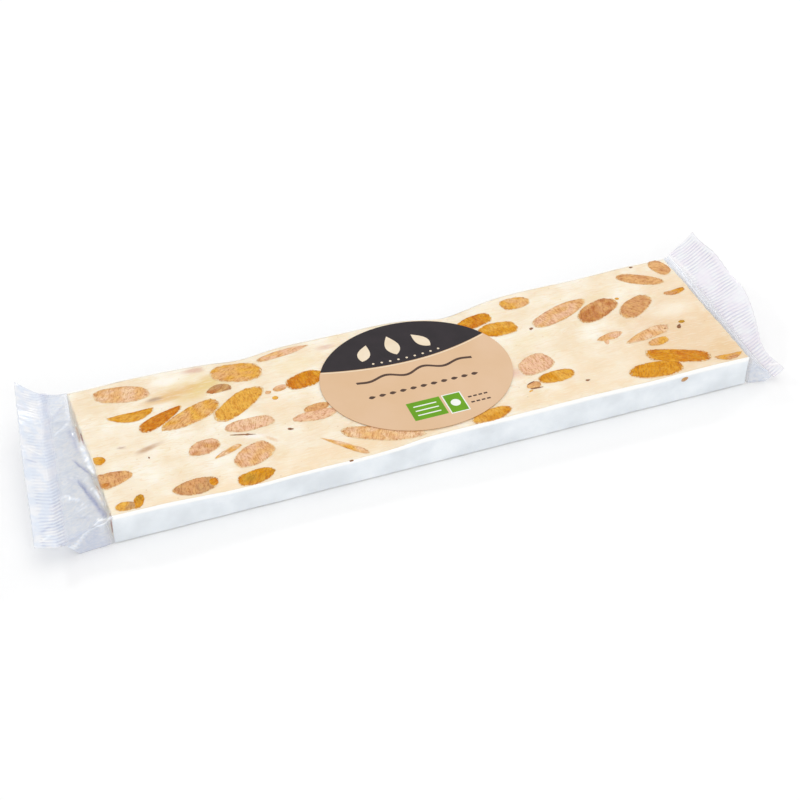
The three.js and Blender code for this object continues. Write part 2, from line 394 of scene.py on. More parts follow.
# Painted highlight: the band along the top of the face, with the cut edge, mixed towards white
edge = add_node(tree, "ShaderNodeAttribute", {}, attribute_name="cut_edge_and_highlight")
edge_and_highlight_mixed = add_node(
    tree,
    "ShaderNodeMixRGB",
    {"Fac": edge.outputs["Fac"], "Color1": white, "Color2": linear("#FFFEFB")},
)
weave = add_node(tree, "ShaderNodeTexNoise", {"Vector": in_mm, "Scale": 1.3, "Detail": 4})
bumps = add_node(tree, "ShaderNodeBump", {"Strength": 0.2, "Distance": 0.1 * MM, "Height": weave})
set_inputs(tree, shader, {"Base Color": edge_and_highlight_mixed, "Normal": bumps, "Roughness": 0.6})
for name, side in (("wafer_front", -1), ("wafer_back", 1)):
    sheet = block(
        SLAB_LENGTH - WAFER_SHORT, WAFER_THICKNESS, SLAB_BOTTOM - WAFER_SAG, SLAB_TOP,
        WAFER_RADIUS, WAFER_STEPS,
    )
    cut_edge_and_highlight = sheet.verts.layers.float.new("cut_edge_and_highlight")
    for vert in sheet.verts:
        x, y, z = vert.co
        # The share of whiter cut edge and painted highlight, from the top of the sheet down
        vert[cut_edge_and_highlight] = ease((z - SLAB_TOP + EDGE_AND_HIGHLIGHT_BAND["height"]) / EDGE_AND_HIGHLIGHT_BAND["fade"])
        waved = Vector((x / WAFER_RIPPLE["length"], side * 4, z / WAFER_RIPPLE["rise"]))
        ripple = WAFER_RIPPLE["depth"] * noise.noise(waved)
        broken = Vector((x / WAFER_RAGGED["length"], side * 7, 0))
        ragged = WAFER_RAGGED["depth"] * noise.noise(broken) * ease(z / SLAB_TOP)
        middle = side * (SLAB_WIDTH + WAFER_THICKNESS) / 2
        vert.co = on_slab(x, middle + y + ripple, z - abs(ragged))
    finish_piece(sheet, name, wafer, "wrapped_bar")

# The almonds: whole nuts that the knife cut through with the nougat, so that each shows a flat cut
# face flush with the slab. Each is a closed nut, flattened on its cut side and sunk in the slab.
ALMOND_TONES = {
    "amber": "#DB9204",
    "deep": "#D27C00",
    "gold": "#E8AB42",
    "tan": "#E9B47A",
    "pink": "#EEC09E",
    "brown": "#D99F6A",
    "dusky": "#C39466",
    "pale": "#F1CAA6",
    "olive": "#C28F1E",
    "red": "#A94A48",
    "russet": "#C47E45",
}
# How deep a nut lies, and how far its cut face stands up in the middle; then the faces round it
ALMOND_DEPTH = 1.4
ALMOND_LIFT = 0.07
ALMOND_ROUND = 44
ALMOND_RINGS = 16
# What makes a nut's outline ragged: waves on half a nut, their height and their slice of the noise
ALMOND_WAVES = ((1.2, 0.1, 0), (4, 0.05, 50))
ALMOND_NOTCHES = {"length": 1.5, "height": 0.25}
# The patches of the second tone: how long and wide, how sharp, and more of them at the left end
ALMOND_PATCHES = {"length": 4, "width": 3, "contrast": 1.6, "leftward": 0.3}
# Each nut: middle x and y, length, width, turn, body tone, patch tone, taper, bend, how pointed its
# left and right ends are (below 0 blunt), and how its grain runs against its length
TOP_ALMONDS = (
    (-95.2, 23.6, 18.8, 8.2, -14, "pale", "tan", 0.05, 0, -0.4, -0.2, 70),
    (-94.8, 12.2, 15.8, 5, 1, "amber", "gold", 0, 2.1, 0.5, 0.1, 20),
    (-86.1, 7.4, 17.8, 5.3, 26, "deep", "deep", 0.34, 0, -0.4, -0.2, 0),
    (-76.9, 5.5, 22.8, 7.6, 21, "gold", "tan", -0.08, 0.3, 0.1, -0.5, 25),
    (-60.2, 5.9, 21.5, 8.4, 30, "gold", "gold", 0, 0, -0.3, -0.2, 60),
    (-56.3, 22.2, 18, 11.4, -14, "gold", "tan", 0, 0, -0.1, -0.2, 50),
    (-64.3, 15.2, 9, 4, 4, "dusky", "russet", -0.1, -0.6, 0.2, -0.4, 30),
    (-109.7, -5.6, 3.8, 4.2, 0, "amber", "gold", 0.1, 0, -0.8, 0, 0),
    (-107.2, -15.4, 11.6, 6.6, 7, "tan", "brown", 0.25, 0, -1, -0.2, 80),
    (-106.6, -28.3, 7.6, 3.8, -6, "dusky", "gold", 0, 0, -0.2, 0, 60),
    (-102.7, -27.5, 6.4, 3.2, 62, "amber", "olive", -0.1, 0, 0, 0.3, 30),
    (-84.3, -26.8, 14.8, 6.2, 3, "dusky", "brown", 0.05, 0, 0.2, -0.2, 80),
    (-78.6, -26.5, 3.4, 3, 0, "deep", "amber", 0, 0, 0, -0.3, 0),
    (-64.6, -28, 13, 4.9, 4, "amber", "olive", 0.1, 0.2, -0.2, 0, 40),
    (-62.9, -19.6, 14.6, 8.7, 22, "tan", "pink", -0.06, 0, 0, -0.5, 75),
    (-77, -10.9, 11, 6.6, 12, "brown", "pink", -0.05, 0, 0.1, -0.4, 70),
    (-70.3, -15.5, 10.3, 2.3, 20, "pale", "gold", -0.25, 0, 0.3, -0.1, 0),
    (-59.8, -5.1, 16.6, 6.4, -3, "pale", "pink", 0.04, 0.2, 0, -0.4, 70),
    (-38.3, 26.9, 19.6, 3.9, 6, "pink", "tan", 0.1, 0.2, -0.3, 0.4, 10),
    (-35.6, 10.1, 14, 7.8, 10, "amber", "deep", -0.1, 0, -0.6, 0, 85),
    (-45, 8.8, 5, 3, 10, "pink", "brown", 0, 0, 0, -0.4, 0),
    (-49.3, 8, 2.2, 1.6, 0, "pink", "brown", 0, 0, 0, 0, 0),
    (-48, 4.5, 2.2, 1.8, 0, "gold", "gold", 0, 0, 0, 0, 0),
    (-38.4, -8.2, 15.4, 5.3, 0, "pink", "pink", -0.1, 0, 0.1, 0, 15),
    (-36.6, -4.9, 9, 4.2, 6, "brown", "tan", 0, 0, -0.4, 0, 60),
    (-20.5, -23.9, 27, 6.4, -21, "pale", "tan", 0, 0, -0.7, -0.2, 84),
    (-34, -24.7, 16.6, 1.9, -37, "pale", "gold", -0.4, 0.5, 0.3, -0.3, 0),
    (30.5, 19.9, 14.4, 6.8, 12, "amber", "deep", -0.05, 0, 0, -0.5, 95),
    (36.7, 13, 14.4, 7.8, -3, "gold", "amber", 0, 0, 0, -0.4, 98),
    (48.6, 24.9, 11, 6.8, -3, "tan", "gold", 0.05, 0, -0.6, -0.2, 90),
    (61.2, 14, 25, 7.7, 18, "tan", "pink", 0.08, 0, -0.3, 0.15, 85),
    (40.8, -9.2, 13.6, 9.4, 20, "pink", "pink", -0.05, 0, -0.3, -0.5, 70),
    (45, -17.5, 13.4, 6, 2, "gold", "amber", 0, 0, -0.4, -0.4, 95),
    (16.3, -28.2, 15, 5.6, 8, "amber", "gold", 0, 0, 0, -0.3, 95),
    (74.6, 10.9, 18.6, 8.8, 22, "brown", "russet", 0.05, 0, -0.2, -0.3, 50),
    (88.5, 8.3, 16.6, 8.2, 31, "brown", "brown", 0, 0, -0.3, -0.3, 95),
    (97.5, 22.2, 18, 5.5, -29, "tan", "brown", 0.08, 0.3, 0, -0.2, 15),
    (107.8, 26.3, 9.6, 6.8, -75, "tan", "brown", 0, 0, -0.2, -0.2, 30),
    (105.9, 11.4, 8.8, 2.8, 3, "amber", "brown", 0, 0.8, -0.3, -0.4, 0),
    (71.9, -4, 10.5, 3.6, 8, "pink", "tan", -0.3, 0.3, -0.2, 0.5, 60),
    (69.7, -6.1, 4, 1.8, 70, "tan", "pink", 0, 0, 0, 0, 0),
    (84.9, -7.8, 18.6, 4.8, 12, "pale", "tan", -0.25, -0.3, 0.3, -0.3, 80),
    (86.6, -12.5, 8.4, 3.9, 8, "gold", "tan", 0, 0, 0, -0.3, 85),
    (89.2, -21.8, 22.4, 7.4, -22, "deep", "amber", 0.06, 0, -0.3, -0.9, 4),
    (78.6, -25.9, 19.6, 8, -6, "amber", "amber", 0, 0, 0, -0.4, 60),
    (84.2, 14.5, 1.6, 1.2, 0, "amber", "gold", 0, 0, 0, 0, 0),
    (33.6, -21.6, 1.8, 0.8, 20, "tan", "gold", 0, 0, 0, 0, 0),
    (35.6, -19.2, 5.4, 3.4, 6, "brown", "tan", -0.2, 0, 0.3, 0, 0),
    (99.6, -5.4, 2.6, 1.6, 0, "olive", "olive", 0, 0, 0.3, 0, 0),
    (105.6, -28.1, 10.8, 3, -3, "gold", "brown", 0, 1.3, 0.2, 0, 10),
    (-110.6, -17.4, 4, 2.6, 8, "deep", "russet", 0, 0, -0.4, 0.2, 0),
)
# Crumbs of brown skin, and one painted shadow, laid in the same way: middle x and y, length, width
# and turn
SKIN_FLECKS_AND_PIT_SHADOW = (
    (-63.4, -9.4, 8.4, 0.45, -17),
    (-61.9, -9.8, 1.6, 0.8, -10),
    (-48, -12, 2, 0.9, -25),
    (-33.9, -31, 1.5, 0.6, 0),
    (48, 9.3, 1.6, 0.9, 10),
    (35.2, -17.9, 3.6, 0.7, 22),
    # Painted shadow, not a crumb: the dark crescent under the small pit at 35.6, -19.2
    (36.2, -20.8, 4.4, 0.6, -6),
    (54.1, -23.1, 1.6, 0.8, 0),
    (97.6, -7.3, 2.5, 1.3, 50),
    (92.2, -6.9, 1.2, 0.5, 20),
    (97.8, 29.9, 1.3, 0.7, 0),
    (-94.6, -9.6, 0.5, 0.8, 0),
)
FLECK_TAPER = 0.3
FLECK_TIPS = (-0.4, 0.6)

round_nut = bpy.data.meshes.new("round_nut")
nut_pattern = bmesh.new()
bmesh.ops.create_uvsphere(nut_pattern, u_segments=ALMOND_ROUND, v_segments=ALMOND_RINGS, radius=1)
nut_pattern.to_mesh(round_nut)
nut_pattern.free()


def add_nut(bm, layers, seat, length, width, turn, tones, seed, taper=0, bend=0, tips=(0, 0), grain=0):
    """Adds one cut nut. seat() puts a point that is along and across the cut, and out of it."""
    before = len(bm.verts)
    bm.from_mesh(round_nut)
    bm.verts.ensure_lookup_table()
    flesh, cut_face = layers
    turned = Matrix.Rotation(math.radians(turn), 2)
    grained = Matrix.Rotation(math.radians(-grain), 2)
    body, patch = (Vector(linear(ALMOND_TONES[tone])[:3]) for tone in tones)
    size = math.sqrt(length * width)
    for vert in bm.verts[before:]:
        u, v, w = vert.co
        out = min(math.hypot(u, v), 1)
        ragged = 0
        for waves, height, slice_at in ALMOND_WAVES:
            ragged += noise.noise(Vector((u * waves, v * waves, seed + slice_at))) * height
        notch = ALMOND_NOTCHES["length"]
        notches = noise.noise(Vector((u * length / notch, v * width / notch, seed)))
        ragged += notches * ALMOND_NOTCHES["height"] / size
        along = u * length / 2 * (1 + ragged)
        narrowed = (1 - taper * u) * (1 - tips[u > 0] * abs(u) ** 3)
        across = v * width / 2 * (1 + ragged) * narrowed + bend * (u * u - 0.4)
        lift = ALMOND_LIFT * (1 - out**6) if w >= 0 else -min(ALMOND_DEPTH, size / 3) * (-w) ** 0.7
        on_face = (along / ALMOND_PATCHES["length"], across / ALMOND_PATCHES["width"], seed + 9)
        patched = ALMOND_PATCHES["contrast"] * noise.noise(Vector(on_face))
        share = ease(0.5 + patched - ALMOND_PATCHES["leftward"] * u)
        vert[flesh] = (*body.lerp(patch, share), out)
        place = turned @ Vector((along, across))
        vert.co = seat(place.x, place.y, lift)
        for loop in vert.link_loops:
            loop[cut_face].uv = grained @ Vector((along, across)) + Vector((seed * 7, 0))


def top_seat(x, y):
    """Seats a nut in the slab's top, round a middle at x and y."""
    def seat(along, across, out):
        inside = min(max(x + along, -SLAB_LENGTH / 2), SLAB_LENGTH / 2)
        return on_slab(inside, y + across, SLAB_TOP) + Vector((0, 0, out))
    return seat


def new_nuts():
    """An empty mesh for nuts, with its layers for their flesh and their cut faces."""
    bm = bmesh.new()
    return bm, (bm.verts.layers.float_color.new("flesh"), bm.loops.layers.uv.new("cut_face"))


# Almond flesh, roasted and soaked in honey: waxy, from pale tan to clear amber, with fine fibres
# along the nut, paler mottling, a broken darker rim that is partly the thin skin and partly painted
# shade of the gap round the nut, and a frayed edge of cream nougat.
almond, tree, shader, in_mm = new_material("roasted_almond_cut")
flesh = add_node(tree, "ShaderNodeAttribute", {}, attribute_name="flesh")
face = add_node(tree, "ShaderNodeUVMap", {}, uv_map="cut_face")
mottling = add_node(tree, "ShaderNodeTexNoise", {"Vector": face, "Scale": 0.5, "Detail": 6})
pale_share = set_ramp(add_node(tree, "ShaderNodeValToRGB", {"Fac": mottling}), (0.44, 0), (0.62, 1))
mottled = add_node(
    tree,
    "ShaderNodeMixRGB",
    {"Fac": pale_share, "Color1": flesh, "Color2": linear("#8A682C")},
    blend_type="SCREEN",
)
drawn_out = add_node(tree, "ShaderNodeMapping", {"Vector": face, "Scale": (0.5, 1.7, 1)})
fibres = add_node(
    tree, "ShaderNodeTexNoise", {"Vector": drawn_out, "Scale": 1, "Detail": 6, "Distortion": 1}
)
dark_share = set_ramp(
    add_node(tree, "ShaderNodeValToRGB", {"Fac": fibres}), (0.48, 0), (0.63, 0.62)
)
fibrous = add_node(
    tree,
    "ShaderNodeMixRGB",
    {"Fac": dark_share, "Color1": mottled, "Color2": linear("#CFA466")},
    blend_type="MULTIPLY",
)
grains = add_node(tree, "ShaderNodeTexNoise", {"Vector": face, "Scale": 1.4, "Detail": 3})
grain_share = set_ramp(
    add_node(tree, "ShaderNodeValToRGB", {"Fac": grains}), (0.54, 0), (0.68, 0.42)
)
grainy = add_node(
    tree,
    "ShaderNodeMixRGB",
    {"Fac": grain_share, "Color1": fibrous, "Color2": linear("#BC9058")},
    blend_type="MULTIPLY",
)
# The darker rim is partly the nut's thin brown skin and partly painted shade of the gap where the nut
# meets the nougat.
skin_and_gap_shade_share = set_ramp(
    add_node(tree, "ShaderNodeValToRGB", {"Fac": flesh.outputs["Alpha"]}), (0.8, 0), (0.97, 0.55)
)
broken_share = set_ramp(
    add_node(tree, "ShaderNodeValToRGB", {"Fac": mottling}), (0.4, 1), (0.62, 0.1)
)
broken_skin_and_gap_shade = add_node(
    tree,
    "ShaderNodeMixRGB",
    {"Fac": 1, "Color1": skin_and_gap_shade_share, "Color2": broken_share},
    blend_type="MULTIPLY",
)
skin_and_gap_shaded = add_node(
    tree,
    "ShaderNodeMixRGB",
    {"Fac": broken_skin_and_gap_shade, "Color1": grainy, "Color2": linear("#BC854A")},
    blend_type="MULTIPLY",
)
uneven_rim = add_node(
    tree,
    "ShaderNodeMath",
    {0: grains, 1: 0.35, 2: flesh.outputs["Alpha"]},
    operation="MULTIPLY_ADD",
)
fringe = add_node(tree, "ShaderNodeMath", {0: uneven_rim, 1: 0.17}, operation="SUBTRACT")
creamy_share = set_ramp(
    add_node(tree, "ShaderNodeValToRGB", {"Fac": fringe}), (0.94, 0), (0.99, 0.85)
)
frayed = add_node(
    tree, "ShaderNodeMixRGB", {"Fac": creamy_share, "Color1": skin_and_gap_shaded, "Color2": linear("#F0D9AE")}
)
bumps = add_node(tree, "ShaderNodeBump", {"Strength": 0.3, "Distance": 0.1 * MM, "Height": fibres})
set_inputs(tree, shader, {
    "Base Color": frayed,
    "Normal": bumps,
    "Roughness": 0.5,
    "Specular IOR Level": 0.1,
})

top_nuts, layers = new_nuts()
for seed, nut in enumerate(TOP_ALMONDS):
    x, y, length, width, turn, body, patch, taper, bend, left_tip, right_tip, grain = nut
    add_nut(
        top_nuts, layers, top_seat(x, y), length, width, turn, (body, patch), seed,
        taper, bend, (left_tip, right_tip), grain,
    )
finish_piece(top_nuts, "top_almonds", almond, "wrapped_bar")

# The crumbs of almond skin came off the nuts as they were roasted, and were stirred in with them.
# One fleck is no crumb but a painted shadow under a small pit. Almond skin is thin, matt and finely
# wrinkled, in browns.
skin_and_pit_shadow, tree, shader, in_mm = new_material("almond_skin_and_pit_shadow")
wrinkles = add_node(tree, "ShaderNodeTexNoise", {"Vector": in_mm, "Scale": 2, "Detail": 4})
brown = set_ramp(
    add_node(tree, "ShaderNodeValToRGB", {"Fac": wrinkles}), (0.35, "#6F3F1C"), (0.65, "#A46C38")
)
set_inputs(tree, shader, {"Base Color": brown, "Roughness": 0.6})
flecks, layers = new_nuts()
for seed, (x, y, length, width, turn) in enumerate(SKIN_FLECKS_AND_PIT_SHADOW):
    add_nut(
        flecks, layers, top_seat(x, y), length, width, turn, ("brown", "brown"), seed,
        FLECK_TAPER, 0, FLECK_TIPS,
    )
finish_piece(flecks, "skin_flecks_and_pit_shadow", skin_and_pit_shadow, "wrapped_bar")

# The underside is the other knife cut. It doesn't show, so its nuts are spread by a seeded draw,
# kept clear of each other and of the edges, in tones that are drawn from the top's.
UNDER_NUTS = {
    "count": 34, "apart": 15, "row_stretch": 1.4, "margins": (11, 7),
    "lengths": (11, 19), "widths": (0.36, 0.5), "turns": (-40, 40),
}
NUT_TAPER = 0.1
draw = random.Random(5)
under_nuts, layers = new_nuts()
placed = []
reach_x, reach_y = (
    span / 2 - margin for span, margin in zip((PACK_LENGTH, PACK_WIDTH), UNDER_NUTS["margins"])
)
while len(placed) < UNDER_NUTS["count"]:
    x = draw.uniform(-reach_x, reach_x)
    y = draw.uniform(-reach_y, reach_y)
    distances = (math.hypot(x - px, UNDER_NUTS["row_stretch"] * (y - py)) for px, py in placed)
    if any(distance < UNDER_NUTS["apart"] for distance in distances):
        continue
    placed.append((x, y))
    tones = TOP_ALMONDS[draw.randrange(len(TOP_ALMONDS) // 2)][5:7]
    length = draw.uniform(*UNDER_NUTS["lengths"])

    def under_seat(along, across, out):
        return Vector((x + along, y + across, SLAB_BOTTOM - out))

    add_nut(
        under_nuts, layers, under_seat, length, length * draw.uniform(*UNDER_NUTS["widths"]),
        draw.uniform(*UNDER_NUTS["turns"]), tones, 100 + len(placed), NUT_TAPER,
    )
bmesh.ops.recalc_face_normals(under_nuts, faces=under_nuts.faces)
finish_piece(under_nuts, "under_almonds", almond, "wrapped_bar")

# The nuts that were cut with the slab's two ends, and the tip of one that broke through the front
# wafer. Each at an end: which end, middle across and up, length, width, turn and tones.
END_SINK = 0.1
END_NUTS = (
    (-1, 17, 4.5, 8, 5, 10, ("tan", "pale")),
    (-1, 9, 9.6, 5.6, 3.4, -8, ("red", "red")),
    (-1, -12, 4, 9, 4.5, -15, ("pale", "tan")),
    (-1, -29, 7, 2.8, 8.4, 0, ("red", "red")),
    (1, 20, 6.5, 11, 6, 8, ("tan", "amber")),
    (1, 2, 5, 12, 5, -20, ("gold", "tan")),
    (1, -17, 7, 9, 6, 15, ("pink", "tan")),
)
end_nuts, layers = new_nuts()
for seed, (end, y, z, length, width, turn, tones) in enumerate(END_NUTS):
    def end_seat(along, across, out):
        return Vector((end * (SLAB_LENGTH / 2 - END_SINK + out), y + along, z + across))

    add_nut(end_nuts, layers, end_seat, length, width, turn, tones, 200 + seed, NUT_TAPER)

WAFER_TIP = (87.4, -PACK_WIDTH / 2 + 0.28, 9.4)


def wafer_seat(along, across, out):
    """Seats a nut's tip in the front wafer."""
    return on_slab(*WAFER_TIP) + Vector((along, -out, across))


add_nut(end_nuts, layers, wafer_seat, 3.6, 2.2, 22, ("dusky", "olive"), 300, 0.3, 0, (0.4, 0.2))
bmesh.ops.recalc_face_normals(end_nuts, faces=end_nuts.faces)
finish_piece(end_nuts, "end_almonds", almond, "wrapped_bar")

# The wrap: one tube of clear polypropylene film, drawn tight round the slab and gathered at each
# end into a tent that closes on the end seal. It is the frame's own form with the film's creases.
FILM_RADIUS = 0.9
FILM_STEPS = (1.35, 0.65, 0.75)
# A tent starts as this length of straight tube. At its seal it is this thin, and keeps this share
# of the seal's reach, so that the seal's plate stands out round it.
TENT_SPAN = 80
TENT_END_THICKNESS = 0.5
TENT_END_REACH = 0.985
TENT_FALL_CURVE = 0.85
GUSSET = {"tuck": 2.4, "curve": 6}
RISE_CURVE = 1.2
EDGE_WAVE = {"height": 0.5, "length": 19}
# Each end, its pairs from the front to the back: how far beyond the slab the seal's line and edge
# lie and how high, how far the seal reaches to each side, how it flares at the back, and where,
# how widely and how far its edge swells. floor_share is where the tent's floor starts to rise and
# ribbed how deep the ribs are. root, rib_start and rib_stop are shares of the seal's width: how far
# its plate runs in over the tent, over what length its ribs begin there, and where they end. The
# gusset's diagonal fold gets a painted highlight, and the gusset's side painted shade.
LEFT_END = {
    "side": -1,
    "line": (16.5, 8), "line_height": (6.6, 11.5),
    "edge": (24.5, 15.5), "edge_height": (8.5, 16.6),
    "reach": (33.5, 34), "flare": 3,
    "swells": ((0.1, 0.6, 0.5),),
    "floor_share": 0.62,
    "ribbed": (0.9, 0.3),
    "root": 0.42, "rib_start": 0.3, "rib_stop": 0.66,
    "gusset_fold_glint": 0.7, "gusset_shade": 0.28,
}
RIGHT_END = {
    "side": 1,
    "line": (9, 4), "line_height": (2.2, 9),
    "edge": (13.7, 15), "edge_height": (4.6, 16),
    "reach": (33.8, 35.5), "flare": 2,
    "swells": ((0, 0.45, 4), (-0.6, 0.3, -2), (0.5, 0.3, 1.3)),
    "floor_share": 0.8,
    "ribbed": (0.8, 1),
    "root": 0.06, "rib_start": 0.2, "rib_stop": 0.84,
    "gusset_fold_glint": 0.2, "gusset_shade": 0.1,
}
# Folds on top of the tents and seals: from and to, the width at each end, how deep they go, and
# how much painted highlight (or, below 0, painted shade) they put on the film
FOLDS = (
    (-117.7, 0.5, -111.8, -15.5, 0.3, 0.5, 0.5, -0.9),
    (-118.2, -8.5, -112.9, -33, 0.4, 1.2, 0.9, -0.85),
    (-113.4, 6, -112.8, -13.5, 1.1, 0.7, -0.1, 1),
    (-115.6, 14, -114.4, 0, 1.2, 1, 0.3, -0.5),
    (-111.9, -31.6, -115.8, -30.2, 0.4, 0.6, -0.4, 1),
    (-115.2, -30, -118.2, -31.5, 0.7, 0.4, -0.4, 0.9),
    (-114.2, -17, -113.2, -27, 0.7, 0.7, -0.2, 0.6),
    (-122, 18, -114, 25, 0.5, 0.7, 0.3, -0.3),
    (-121, 12, -114.5, 16, 0.4, 0.5, -0.2, 0.4),
    (-121, -7, -117.5, -12, 0.5, 0.6, 0.2, -0.25),
    (-122.5, -16, -119, -19, 0.5, 0.5, -0.2, 0.5),
    (-122, -24, -118, -28, 0.5, 0.6, 0.3, -0.35),
    (-124.5, 25, -127, 23.5, 0.3, 0.3, 0, 0.8),
    (-123, 20, -125.6, 18.5, 0.3, 0.3, 0, 0.7),
    (-127, 14, -129, 13, 0.3, 0.4, 0, 0.6),
    (-126, 5, -130, 7, 0.3, 0.3, 0, 0.6),
    (-128, 1.5, -132, 2.5, 0.3, 0.3, 0, -0.5),
    (-130, -24, -134, -27, 0.5, 0.5, 0, -0.5),
    (-131, -28, -134, -30.5, 0.5, 0.5, 0, 0.8),
    (113.6, 26, 113.6, -26, 1.3, 1.2, 0.1, 0.6),
    (117.2, 35, 119.2, 19, 0.7, 0.4, 0, 1),
    (115.6, 29, 115.2, 14, 0.4, 0.5, 0, 0.8),
    (114.8, 2, 115.8, -6, 0.6, 0.6, 0.3, -0.5),
    (117, -12, 118.5, -22, 0.4, 0.4, 0.3, -0.4),
    (123, -28, 126.5, -31.5, 0.5, 0.4, 0, 1),
    (121, -31, 116, -28, 0.4, 0.4, -0.3, 0.6),
)
# How fast a fold fades out towards its ends, and what is left of it there
FOLD_END = {"steep": 5, "least": 0.15}
# The gusset's diagonal fold, which carries a painted highlight, runs down from the tent's top corner
# by this slope
GUSSET_FOLD = {"slope": 1.1, "width": 0.08}
# The small wrinkles of the slack film, and how much of them goes sideways on the tent's sides
FILM_WRINKLE = {"height": 0.7, "sink": 0.1, "length": 9, "across": 2.6, "rise": 6, "sideways": 0.5}
SLACK_CURVE = 0.7
# How milky the film is: on the slab's top and sides, at the tent's foot and on the tent. It clears
# again under the seal, and a fold's painted highlight or painted shade makes it more opaque.
HAZE = {"top": 0.008, "side": 0.05, "foot": 0.14, "tent": 0.5, "clears": 0.96}
FOLD_OPACITY = {"bright": 0.7, "dark": 0.4}


def crimp_point(end, across, outward):
    """A point of the end seal's middle surface: across from -1 to 1, outward from 0 to 1."""
    back = (across + 1) / 2
    rise = ease(back)
    swell = sum(out * bump(across, at, width) for at, width, out in end["swells"])
    start = mix(*end["line"], back)
    stop = mix(*end["edge"], back)
    y = mix(-end["reach"][0], end["reach"][1], back) + end["flare"] * outward * back**3
    low = mix(*end["line_height"], rise)
    high = mix(*end["edge_height"], rise)
    wave = EDGE_WAVE["height"] * math.sin(2 * math.pi * y / EDGE_WAVE["length"]) * outward
    return Vector((
        end["side"] * (PACK_LENGTH / 2 + mix(start, stop + swell, outward)),
        y,
        mix(low, high, outward**RISE_CURVE) + wave,
    ))


def folds_at(x, y):
    """How deep the folds go at a point, and how much painted highlight or painted shade they put
    there.
    """
    depth = bright = 0
    for from_x, from_y, to_x, to_y, start_width, stop_width, deep, tone in FOLDS:
        run = Vector((to_x - from_x, to_y - from_y))
        here = Vector((x - from_x, y - from_y))
        along = min(max(here.dot(run) / run.length_squared, 0), 1)
        width = mix(start_width, stop_width, along)
        away = (here - run * along).length
        if away < 3 * width:
            to_end = min(along, 1 - along)
            crossing = bump(away, 0, width) * min(1, FOLD_END["steep"] * to_end + FOLD_END["least"])
            depth += deep * crossing
            bright += tone * crossing
    return depth, bright


def on_tent(end, closed, y, z):
    """The film beyond the slab's end: closed is 0 at the slab and 1 at the seal."""
    across = y / (PACK_WIDTH / 2)
    up = z / PACK_HEIGHT
    slab_point = on_slab(end["side"] * PACK_LENGTH / 2, y, z)
    crimp = crimp_point(end, across, 0)
    late = ease((closed - end["floor_share"]) / (1 - end["floor_share"]))
    fall = mix(late, closed**TENT_FALL_CURVE, up)
    tuck = GUSSET["tuck"] * math.sin(math.pi * closed) * math.sin(math.pi * min(max(up, 0), 1))
    tuck *= min(abs(across), 1) ** GUSSET["curve"]
    point = Vector((
        mix(slab_point.x, crimp.x, closed),
        mix(slab_point.y, crimp.y * TENT_END_REACH, closed) - math.copysign(tuck, y),
        mix(slab_point.z, crimp.z + (up - 0.5) * TENT_END_THICKNESS, fall),
    ))
    drawn = Vector((
        point.x / FILM_WRINKLE["length"],
        point.y / FILM_WRINKLE["across"],
        z / FILM_WRINKLE["rise"],
    ))
    slack = math.sin(math.pi * min(closed * 1.1, 1)) ** SLACK_CURVE
    wrinkle = FILM_WRINKLE["height"] * noise.noise(drawn) - FILM_WRINKLE["sink"]
    point.z += (wrinkle - folds_at(point.x, point.y)[0]) * slack * up**2
    point.y += FILM_WRINKLE["sideways"] * wrinkle * slack * (abs(across) ** 8)
    return point


film_mesh = block(
    PACK_LENGTH + 2 * TENT_SPAN, PACK_WIDTH, 0, PACK_HEIGHT, FILM_RADIUS, FILM_STEPS,
    rounded_axes=(0,),
)
haze = film_mesh.verts.layers.float_color.new("haze")
for vert in film_mesh.verts:
    x, y, z = vert.co
    beyond = abs(x) - PACK_LENGTH / 2
    closed = max(beyond / TENT_SPAN, 0)
    side = (abs(y) / (PACK_WIDTH / 2)) ** 20
    fold = 0
    if beyond <= 0:
        vert.co = on_slab(x, y, z)
        cloudy = mix(HAZE["top"], HAZE["side"], side)
    else:
        end = LEFT_END if x < 0 else RIGHT_END
        vert.co = on_tent(end, closed, y, z)
        # fold is painted light from the folds: a painted highlight above 0 and painted shade below it.
        fold = min(max(folds_at(vert.co.x, vert.co.y)[1], -1), 1) * (z / PACK_HEIGHT) ** 2
        # The gusset's diagonal fold gets a painted highlight, and the gusset's side painted shade.
        diagonal = z / PACK_HEIGHT - 1 + GUSSET_FOLD["slope"] * closed
        glint = end["gusset_fold_glint"] * bump(diagonal, 0, GUSSET_FOLD["width"])
        fold = min(fold + side * (glint - end["gusset_shade"]), 1)
        cloudy = mix(HAZE["foot"], HAZE["tent"], ease(closed * 5))
        cloudy *= 1 - ease((closed - HAZE["clears"]) / (1 - HAZE["clears"]))
    cloudy += FOLD_OPACITY["bright" if fold > 0 else "dark"] * abs(fold)
    # The haze attribute holds the film's opacity, and the folds' painted light in its second channel.
    vert[haze] = (cloudy, 0.5 + 0.5 * fold, 0, 1)

# Clear film, blown and drawn: almost unseen where it lies on the slab, and milky blue on its
# folds, which carry painted highlights and grey-blue painted shade.
clear_film, tree, shader, in_mm = new_material("clear_polypropylene_film")
stretched = add_node(tree, "ShaderNodeMapping", {"Vector": in_mm, "Scale": (0.3, 0.6, 0.6)})
streaks = add_node(
    tree, "ShaderNodeTexNoise", {"Vector": stretched, "Scale": 1, "Detail": 4, "Distortion": 2}
)
bluish = set_ramp(
    add_node(tree, "ShaderNodeValToRGB", {"Fac": streaks}),
    (0.36, "#E6EEFB"), (0.5, "#F2F7FF"), (0.62, "#FDFEFF"),
)
hazy = add_node(tree, "ShaderNodeAttribute", {}, attribute_name="haze")
haze_and_fold = add_node(tree, "ShaderNodeSeparateColor", {"Color": hazy})
